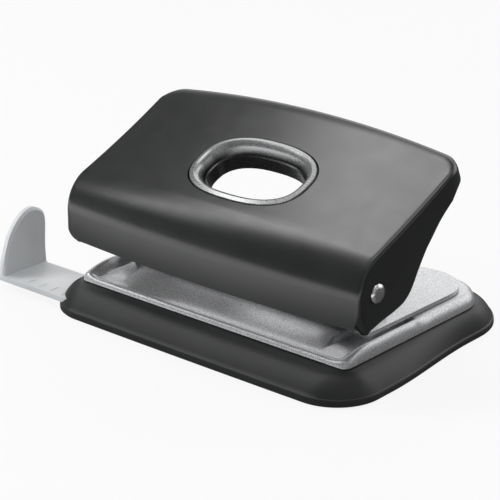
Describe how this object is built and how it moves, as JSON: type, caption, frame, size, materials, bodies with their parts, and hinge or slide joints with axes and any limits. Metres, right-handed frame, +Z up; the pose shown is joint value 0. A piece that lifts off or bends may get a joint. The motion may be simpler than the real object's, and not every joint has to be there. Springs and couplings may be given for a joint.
{
  "type": "mini_hole_punch",
  "caption": "Mini desk hole punch: black lever with a finger ring, two cutting pins, silver steel plates, black chip tray and a sliding pale paper guide.",
  "frame": {"origin": "centre of the chip tray's flat underside, on the desk", "axes": "+X to the right end, away from the paper guide; -Y to the side where paper goes in; +Z up"},
  "size_m": [0.1413, 0.0895, 0.0614],
  "materials": {
    "lever_black": "black moulded plastic, satin gloss",
    "tray_black": "black moulded plastic, fine grain",
    "plate_silver": "silver paint on pressed steel, fine speckle",
    "bright_steel": "bright plated steel",
    "spring_steel": "spring wire and snap rings",
    "ring_grey": "grey moulded plastic with a metallic tone",
    "guide_pale": "pale cloudy plastic"
  },
  "bodies": {
    "frame": {"die_plate": "plate_silver", "punch_plate": "plate_silver", "punch_bracket_left": "bright_steel", "punch_bracket_right": "bright_steel", "bracket_rivet_left": "bright_steel", "bracket_rivet_right": "bright_steel", "plate_rivet_left": "bright_steel", "plate_rivet_right": "bright_steel", "pivot_pin_left": "bright_steel", "pivot_pin_right": "bright_steel", "pivot_washer_left": "bright_steel", "pivot_washer_right": "bright_steel", "return_spring_left": "spring_steel", "return_spring_right": "spring_steel"},
    "lever": {"lever_shell": "lever_black", "finger_ring": "ring_grey"},
    "punch_left": {"punch_pin_left": "bright_steel", "punch_clip_left": "spring_steel"},
    "punch_right": {"punch_pin_right": "bright_steel", "punch_clip_right": "spring_steel"},
    "tray": {"chip_tray": "tray_black", "guide_cover": "tray_black"},
    "guide": {"paper_guide": "guide_pale"}
  },
  "joints": [
    {"name": "lever_pivot", "type": "hinge", "parent": "frame", "child": "lever", "pos_m": [0, -0.0272, 0.0301], "axis": [-1, 0, 0], "range_deg": [0, 23], "stiffness_Nm_per_rad": 0.7, "springref_deg": -9.8},
    {"name": "punch_left_slide", "type": "slide", "parent": "frame", "child": "punch_left", "axis": [0, 0, -1], "range_m": [0, 0.0066], "deforming": ["return_spring_left"]},
    {"name": "punch_right_slide", "type": "slide", "parent": "frame", "child": "punch_right", "axis": [0, 0, -1], "range_m": [0, 0.0066], "deforming": ["return_spring_right"]},
    {"name": "tray_release", "type": "slide", "parent": "frame", "child": "tray", "axis": [0, 0, -1], "range_m": [0, 0.02]},
    {"name": "guide_slide", "type": "slide", "parent": "tray", "child": "guide", "axis": [-1, 0, 0], "range_m": [-0.008, 0.07]}
  ],
  "couplings": [
    {"joint": "punch_left_slide", "follows": "lever_pivot", "m_per_rad": 0.01619},
    {"joint": "punch_right_slide", "follows": "lever_pivot", "m_per_rad": 0.01619}
  ]
}
